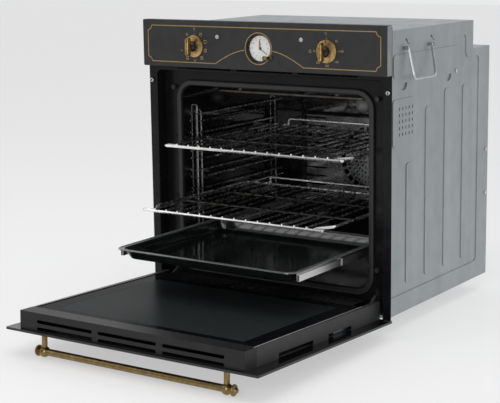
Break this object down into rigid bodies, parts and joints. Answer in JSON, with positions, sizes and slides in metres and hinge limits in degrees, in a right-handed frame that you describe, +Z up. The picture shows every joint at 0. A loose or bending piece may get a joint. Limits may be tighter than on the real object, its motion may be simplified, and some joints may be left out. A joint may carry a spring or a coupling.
{
  "type": "built-in oven",
  "caption": "Built-in electric oven, traditional front with clock and knobs, drop-down door open on two wire shelves and a tray on runners.",
  "frame": {"origin": "middle of the front flange's face, level with the underside of the casing", "axes": "+X right seen from the front, +Y back, +Z up"},
  "size_m": [0.595, 0.9732, 0.6261],
  "materials": {
    "black_enamel": "satin black enamel",
    "panel_black": "matte charcoal enamel",
    "cavity_enamel": "gloss black vitreous enamel",
    "tray_enamel": "gloss black vitreous enamel",
    "galvanised": "galvanised sheet",
    "galvanised_wire": "zinc plated wire",
    "bright_steel": "bright steel",
    "bright_aluminium": "bright sheet",
    "element_steel": "dark heat-tinted steel tube",
    "motor_iron": "laminated iron",
    "chrome_wire": "chrome plated wire",
    "wool": "mineral wool",
    "gasket": "dark grey fibreglass and silicone",
    "rubber_black": "black rubber",
    "ceramic": "white ceramic",
    "lamp_glass": "frosted glass",
    "black_glass": "black printed glass",
    "clear_glass": "clear glass",
    "inner_glass": "tinted glass with a black border",
    "antique_brass": "aged brass",
    "knob_black": "gloss black",
    "black_plastic": "matte black",
    "lens_plastic": "pale lens",
    "dial_white": "matte white"
  },
  "bodies": {
    "oven": {"front_frame": "black_enamel", "cavity": "cavity_enamel", "door_gasket": "gasket", "side_panel_left": "galvanised", "side_panel_right": "galvanised", "top_panel": "galvanised", "rear_cover": "galvanised", "base_pan": "galvanised", "insulation": "wool", "cooling_duct": "galvanised", "blower_housing": "galvanised", "fan_motor": "motor_iron", "fan_cover": "cavity_enamel", "grill_element": "element_steel", "bottom_element": "element_steel", "lamp_holder": "ceramic", "lamp_glass": "lamp_glass", "side_rack_left": "chrome_wire", "side_rack_right": "chrome_wire", "runner_outers": "bright_steel", "hinge_receivers": "galvanised", "hinge_arms": "bright_steel", "door_bumpers": "rubber_black", "case_screws": "bright_steel", "terminal_box": "black_plastic", "control_panel": "panel_black", "function_switch": "black_plastic", "thermostat": "bright_steel", "indicator_lenses": "lens_plastic", "clock_case": "black_plastic", "clock_dial": "dial_white", "clock_glass": "clear_glass"},
    "door": {"door_outer_glass": "black_glass", "door_middle_glass": "clear_glass", "door_inner_glass": "inner_glass", "door_channel_left": "black_enamel", "door_channel_right": "black_enamel", "door_top_cover": "black_enamel", "door_bottom_rail": "black_enamel", "hinge_casings": "galvanised", "handle_bar": "antique_brass", "handle_ends": "antique_brass"},
    "hinge_link_pair": {"hinge_links": "bright_steel"},
    "function_control": {"function_knob": "antique_brass", "function_knob_cap": "knob_black"},
    "thermostat_control": {"thermostat_knob": "antique_brass", "thermostat_knob_cap": "knob_black"},
    "hour_pointer": {"hour_hand": "antique_brass"},
    "minute_pointer": {"minute_hand": "antique_brass"},
    "timer_pointer": {"timer_hand": "black_enamel"},
    "clock_setting": {"clock_knob": "antique_brass"},
    "shelf_above": {"upper_shelf": "chrome_wire"},
    "shelf_below": {"lower_shelf": "chrome_wire"},
    "tray_carriage": {"baking_tray": "tray_enamel", "runner_inners": "bright_steel"},
    "runner_middle_pair": {"runner_middles": "bright_steel"},
    "fan": {"fan_wheel": "bright_aluminium"},
    "blower": {"blower_wheel": "bright_aluminium"},
    "bail_left": {"bail_handle_left": "galvanised_wire"},
    "bail_right": {"bail_handle_right": "galvanised_wire"}
  },
  "joints": [
    {"name": "door_hinge", "type": "hinge", "parent": "oven", "child": "door", "pos_m": [0, -0.0017, 0.0178], "axis": [1, 0, 0], "range_deg": [-87.8, 0]},
    {"name": "link_pivot", "type": "hinge", "parent": "oven", "child": "hinge_link_pair", "pos_m": [0, 0.0066, 0.0318], "axis": [1, 0, 0], "range_deg": [-94, 0.5]},
    {"name": "upper_shelf_slide", "type": "slide", "parent": "oven", "child": "shelf_above", "axis": [0, -1, 0], "range_m": [-0.1025, 0.0005]},
    {"name": "lower_shelf_slide", "type": "slide", "parent": "oven", "child": "shelf_below", "axis": [0, -1, 0], "range_m": [-0.183, 0.0005]},
    {"name": "runner_middle_slide", "type": "slide", "parent": "oven", "child": "runner_middle_pair", "axis": [0, -1, 0], "range_m": [-0.1585, 0.0005]},
    {"name": "tray_slide", "type": "slide", "parent": "runner_middle_pair", "child": "tray_carriage", "axis": [0, -1, 0], "range_m": [-0.1585, 0.0005]},
    {"name": "function_knob_turn", "type": "hinge", "parent": "oven", "child": "function_control", "pos_m": [-0.162, 0, 0.5413], "axis": [0, -1, 0], "continuous": true},
    {"name": "thermostat_knob_turn", "type": "hinge", "parent": "oven", "child": "thermostat_control", "pos_m": [0.162, 0, 0.5413], "axis": [0, 1, 0], "range_deg": [0, 270]},
    {"name": "clock_knob_turn", "type": "hinge", "parent": "oven", "child": "clock_setting", "pos_m": [0.0295, 0, 0.524], "axis": [0, -1, 0], "continuous": true},
    {"name": "minute_hand_turn", "type": "hinge", "parent": "oven", "child": "minute_pointer", "pos_m": [0, 0, 0.5413], "axis": [0, 1, 0], "continuous": true},
    {"name": "hour_hand_turn", "type": "hinge", "parent": "oven", "child": "hour_pointer", "pos_m": [0, 0, 0.5413], "axis": [0, 1, 0], "continuous": true},
    {"name": "timer_hand_turn", "type": "hinge", "parent": "oven", "child": "timer_pointer", "pos_m": [0, 0, 0.5413], "axis": [0, 1, 0], "continuous": true},
    {"name": "fan_spin", "type": "hinge", "parent": "oven", "child": "fan", "pos_m": [0, 0, 0.25], "axis": [0, 1, 0], "continuous": true},
    {"name": "blower_spin", "type": "hinge", "parent": "oven", "child": "blower", "pos_m": [0, 0.305, 0.521], "axis": [1, 0, 0], "continuous": true},
    {"name": "bail_left_swing", "type": "hinge", "parent": "oven", "child": "bail_left", "pos_m": [-0.2795, 0, 0.5437], "axis": [0, 1, 0], "range_deg": [-13, 75]},
    {"name": "bail_right_swing", "type": "hinge", "parent": "oven", "child": "bail_right", "pos_m": [0.2795, 0, 0.5437], "axis": [0, -1, 0], "range_deg": [-13, 75]}
  ],
  "couplings": [
    {"joint": "link_pivot", "follows": "door_hinge", "ratio": 1.066},
    {"joint": "upper_shelf_slide", "follows": "door_hinge", "m_per_rad": 0.066562},
    {"joint": "lower_shelf_slide", "follows": "door_hinge", "m_per_rad": 0.11909},
    {"joint": "runner_middle_slide", "follows": "door_hinge", "m_per_rad": 0.10311},
    {"joint": "tray_slide", "follows": "door_hinge", "m_per_rad": 0.10311},
    {"joint": "minute_hand_turn", "follows": "clock_knob_turn", "ratio": -1},
    {"joint": "hour_hand_turn", "follows": "clock_knob_turn", "ratio": -0.083333}
  ]
}
